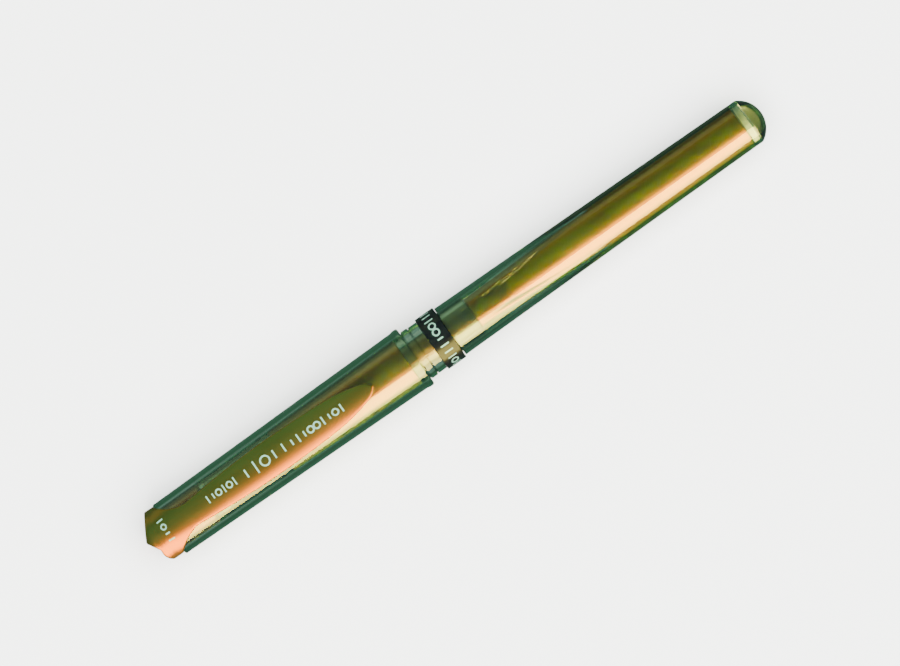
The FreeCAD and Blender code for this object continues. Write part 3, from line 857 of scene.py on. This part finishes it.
def markShapes(tree, given):
    # a tall bar, a short bar and an open ring, each lying flat, as instances to pick from
    bars = []
    for share in (1.0, marks["shortShare"]):
        bar = addNode(
            tree, "GeometryNodeMeshGrid",
            inputs={"Vertices X": marks["barColumns"], "Vertices Y": marks["barRows"]},
            links={
                "Size X": given["Stroke"],
                "Size Y": maths(tree, "MULTIPLY", given["Height"], share),
            },
        )
        bars.append(bar.outputs["Mesh"])
    strip = addNode(
        tree, "GeometryNodeMeshGrid",
        inputs={
            "Size X": math.tau, "Vertices X": marks["ringSteps"] + 1, "Vertices Y": 3,
        },
        links={"Size Y": given["Stroke"]},
    )
    place = addNode(tree, "GeometryNodeInputPosition")
    parts = addNode(
        tree, "ShaderNodeSeparateXYZ", links={"Vector": place.outputs["Position"]},
    ).outputs
    ringRadius = maths(tree, "MULTIPLY", given["Height"], marks["ringShare"])
    radius = maths(tree, "ADD", ringRadius, parts["Y"])
    bent = addNode(tree, "ShaderNodeCombineXYZ", links={
        "X": maths(tree, "MULTIPLY", radius, maths(tree, "COSINE", parts["X"])),
        "Y": maths(tree, "MULTIPLY", radius, maths(tree, "SINE", parts["X"])),
    })
    ring = addNode(
        tree, "GeometryNodeSetPosition",
        links={"Geometry": strip.outputs["Mesh"], "Position": bent.outputs["Vector"]},
    )
    closed = addNode(
        tree, "GeometryNodeMergeByDistance", inputs={"Distance": 0.001 * mm},
        links={"Geometry": ring.outputs["Geometry"]},
    )
    shapes = addNode(tree, "GeometryNodeGeometryToInstance")
    for shape in (*bars, closed.outputs["Geometry"]):
        tree.links.new(shape, shapes.inputs[0])
    return shapes.outputs[0]


def marksTree():
    # a row of marks, wrapped round the pen and dropped radially onto the surface under it
    tree, given = newTree("printedMarks", [
        ("Count", "NodeSocketInt", 4),
        ("Pitch", "NodeSocketFloat", 1.5 * mm),
        ("Height", "NodeSocketFloat", 1.5 * mm),
        ("Stroke", "NodeSocketFloat", 0.3 * mm),
        ("Turn", "NodeSocketFloat", 0.0),
        ("Place", "NodeSocketVector", (0, 0, 0)),
        ("Wrap radius", "NodeSocketFloat", 6 * mm),
        ("Under", "NodeSocketObject", None),
        ("Seed", "NodeSocketInt", marks["seed"]),
    ])
    step = addNode(tree, "ShaderNodeCombineXYZ", links={"X": given["Pitch"]})
    row = addNode(
        tree, "GeometryNodeMeshLine",
        links={"Count": given["Count"], "Offset": step.outputs["Vector"]},
    )
    gaps = maths(tree, "SUBTRACT", given["Count"], 1.0)
    back = maths(tree, "MULTIPLY", maths(tree, "MULTIPLY", gaps, given["Pitch"]), -0.5)
    tree.links.new(
        addNode(tree, "ShaderNodeCombineXYZ", links={"X": back}).outputs["Vector"],
        row.inputs["Start Location"],
    )
    pick = addNode(
        tree, "FunctionNodeRandomValue", settings={"data_type": "INT"},
        links={"Seed": given["Seed"]},
    )
    pick.inputs[4].default_value = 0
    pick.inputs[5].default_value = 2
    placed = addNode(
        tree, "GeometryNodeInstanceOnPoints", inputs={"Pick Instance": True},
        links={
            "Points": row.outputs["Mesh"], "Instance": markShapes(tree, given),
            "Instance Index": pick.outputs[2],
        },
    )
    flat = addNode(
        tree, "GeometryNodeRealizeInstances", links={"Geometry": placed.outputs["Instances"]},
    )
    spin = addNode(tree, "ShaderNodeCombineXYZ", links={"Z": given["Turn"]})
    moved = addNode(
        tree, "GeometryNodeTransform",
        links={
            "Geometry": flat.outputs["Geometry"], "Rotation": spin.outputs["Vector"],
            "Translation": given["Place"],
        },
    )
    place = addNode(tree, "GeometryNodeInputPosition")
    parts = addNode(
        tree, "ShaderNodeSeparateXYZ", links={"Vector": place.outputs["Position"]},
    ).outputs
    angle = maths(tree, "DIVIDE", parts["Y"], given["Wrap radius"])
    outside = marks["outside"] * mm
    start = addNode(tree, "ShaderNodeCombineXYZ", links={
        "X": parts["X"],
        "Y": maths(tree, "MULTIPLY", maths(tree, "SINE", angle), outside),
        "Z": maths(
            tree, "ADD", maths(tree, "MULTIPLY", maths(tree, "COSINE", angle), outside), axisHeight,
        ),
    }).outputs["Vector"]
    inwards = addNode(tree, "ShaderNodeCombineXYZ", links={
        "Y": maths(tree, "MULTIPLY", maths(tree, "SINE", angle), -1.0),
        "Z": maths(tree, "MULTIPLY", maths(tree, "COSINE", angle), -1.0),
    }).outputs["Vector"]
    under = addNode(tree, "GeometryNodeObjectInfo", links={"Object": given["Under"]})
    cast = addNode(
        tree, "GeometryNodeRaycast",
        inputs={"Ray Length": outside},
        links={
            "Target Geometry": under.outputs["Geometry"], "Source Position": start,
            "Ray Direction": inwards,
        },
    )
    raised = addNode(
        tree, "ShaderNodeVectorMath", settings={"operation": "SCALE"},
        inputs={"Scale": marks["lift"] * mm}, links={0: cast.outputs["Hit Normal"]},
    )
    touching = addNode(
        tree, "ShaderNodeVectorMath", settings={"operation": "ADD"},
        links={0: cast.outputs["Hit Position"], 1: raised.outputs["Vector"]},
    )
    dropped = addNode(
        tree, "GeometryNodeSetPosition",
        links={
            "Geometry": moved.outputs["Geometry"], "Selection": cast.outputs["Is Hit"],
            "Position": touching.outputs["Vector"],
        },
    )
    closeTree(tree, dropped.outputs["Geometry"], printInk)
    return tree


def makeMarks(name, tree, under, body, rows):
    # several rows on one piece, given the thickness of a print
    mesh = bmesh.new()
    for row in rows:
        made = treePiece(name + "_row", tree, {
            "Count": row["count"], "Pitch": row["pitch"] * mm, "Height": row["height"] * mm,
            "Stroke": row["stroke"] * mm, "Turn": math.radians(row["turn"]),
            "Place": (station(row["at"]), row["across"] * mm, 0),
            "Wrap radius": row["wrap"] * mm, "Under": under, "Seed": row["seed"],
        })
        mesh.from_mesh(made.data)
        bpy.data.objects.remove(made)
    bmesh.ops.recalc_face_normals(mesh, faces=mesh.faces)
    bmesh.ops.solidify(mesh, geom=mesh.faces[:], thickness=marks["depth"] * mm)
    print(name, "made:", len(mesh.faces), "faces")
    return finishPiece(name, mesh, printInk, body, None)


makeSpring()
markTree = marksTree()
makeMarks("clip_marks_pale_green", markTree, crownAndClip, "clip", [
    {"count": 6, "pitch": 1.3, "height": 1.6, "stroke": 0.3, "turn": 0, "at": 18.5,
     "across": 0.4, "wrap": 8.0, "seed": 3},
    {"count": 5, "pitch": 2.25, "height": 2.7, "stroke": 0.34, "turn": 0, "at": 29.0,
     "across": 0.25, "wrap": 8.6, "seed": 9},
    {"count": 9, "pitch": 1.5, "height": 1.8, "stroke": 0.34, "turn": 0, "at": 41.5,
     "across": 0.1, "wrap": 8.6, "seed": 5},
])
makeMarks("crown_marks_pale_green", markTree, crownAndClip, "cap", [
    {"count": 4, "pitch": 1.4, "height": 1.4, "stroke": 0.3, "turn": 90, "at": 4.8,
     "across": 0.3, "wrap": 6.3, "seed": 3},
])
makeMarks("band_marks_pale_green", markTree, bandPiece, "front", [
    {"count": 11, "pitch": 1.55, "height": 1.9, "stroke": 0.32, "turn": 90, "at": 71.5,
     "across": 0.0, "wrap": 5.98, "seed": 2},
])


# ---- small round parts kept from the CAD ----

for nodeName, material in (("writing_ball", ballCarbide), ("check_ball", pointSteel)):
    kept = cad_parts[nodeName]
    kept.data.materials.clear()
    kept.data.materials.append(material)


# ---- stage, light and camera ----

view = {
    "turn": 35.17, "lens": 300.0, "sensor": 36.0, "width": 180.0, "right": 0.95, "up": 0.92,
}
stage = {"size": 3.0, "colour": "#F4F4F2"}
light = {
    "skyColour": "#709482", "skyStrength": 0.95,
    "shineReach": 0.9, "shineTilt": 60.0, "shineLength": 2.6, "shineWidth": 0.84,
    "shineGlow": 31.0, "shineColour": "#FFE874",
    "rimReach": 0.9, "rimTilt": -76.0, "rimWidth": 0.4, "rimGlow": 0.9,
    "rimColour": "#D2F0A0",
    "roomReach": 1.5, "roomTilt": 12.0, "roomSize": 2.6, "roomGlow": 12.0, "roomColour": "#FFFFFF",
}


def makeFloor():
    mesh = bmesh.new()
    bmesh.ops.create_grid(mesh, x_segments=8, y_segments=8, size=stage["size"] / 2)
    data = bpy.data.meshes.new("floor")
    mesh.to_mesh(data)
    mesh.free()
    floor = bpy.data.objects.new("floor", data)
    scene.collection.objects.link(floor)
    paper = newMaterial("pale_paper_floor", {
        "Base Color": stage["colour"], "Roughness": 0.9, "Specular IOR Level": 0.1,
    })[0]
    data.materials.append(paper)
    floor.location.z = cadLow.z
    # the clear walls neither mirror nor show the pale floor, and take the room's green instead
    floor.visible_glossy = False
    floor.visible_transmission = False


def softBox(name, tilt, reach, length, width, glow, colour):
    # a soft box beside the pen, tilted from overhead towards -Y; glow is its brightness to the eye
    data = bpy.data.lights.new(name, "AREA")
    data.shape = "RECTANGLE"
    data.size = length
    data.size_y = width
    data.energy = glow * math.pi * length * width
    data.color = linear(colour)
    lamp = bpy.data.objects.new(name, data)
    scene.collection.objects.link(lamp)
    angle = math.radians(tilt)
    away = Vector((0, -math.sin(angle), math.cos(angle)))
    lamp.location = away * reach + Vector((0, 0, axisHeight))
    lamp.rotation_euler = (angle, 0, 0)
    return lamp


def makeLights():
    # a long warm soft box that shows only as the shine along the pen, a weak pale green one low
    # on the far side, and a wide neutral one overhead that lights the floor and isn't mirrored
    shine = softBox(
        "shine", light["shineTilt"], light["shineReach"], light["shineLength"],
        light["shineWidth"], light["shineGlow"], light["shineColour"],
    )
    shine.visible_diffuse = False
    rim = softBox(
        "rim", light["rimTilt"], light["rimReach"], light["shineLength"], light["rimWidth"],
        light["rimGlow"], light["rimColour"],
    )
    rim.visible_diffuse = False
    room = softBox(
        "room", light["roomTilt"], light["roomReach"], light["roomSize"], light["roomSize"],
        light["roomGlow"], light["roomColour"],
    )
    room.visible_glossy = False
    room.visible_transmission = False


def makeSky():
    world = bpy.data.worlds.new("sky")
    world.use_nodes = True
    background = world.node_tree.nodes["Background"]
    background.inputs["Color"].default_value = (*linear(light["skyColour"]), 1)
    background.inputs["Strength"].default_value = light["skyStrength"]
    scene.world = world


def makeCamera():
    # straight above the clip, rolled so that the pen climbs from lower left to upper right
    turn = math.radians(view["turn"])
    right = Vector((math.cos(turn), -math.sin(turn), 0))
    up = Vector((math.sin(turn), math.cos(turn), 0))
    reach = view["width"] * mm * view["lens"] / view["sensor"]
    middle = Vector(((cadLow.x + cadHigh.x) / 2, 0, axisHeight))
    middle -= right * view["right"] * mm + up * view["up"] * mm
    data = bpy.data.cameras.new("camera")
    data.lens = view["lens"]
    data.sensor_width = view["sensor"]
    data.clip_start = 0.01
    camera = bpy.data.objects.new("camera", data)
    scene.collection.objects.link(camera)
    back = Vector((0, 0, 1))
    turned = Matrix((right, up, back)).transposed().to_4x4()
    camera.matrix_world = Matrix.Translation(middle + back * reach) @ turned
    scene.camera = camera


makeFloor()
makeLights()
makeSky()
makeCamera()
print("stage, light and camera made")
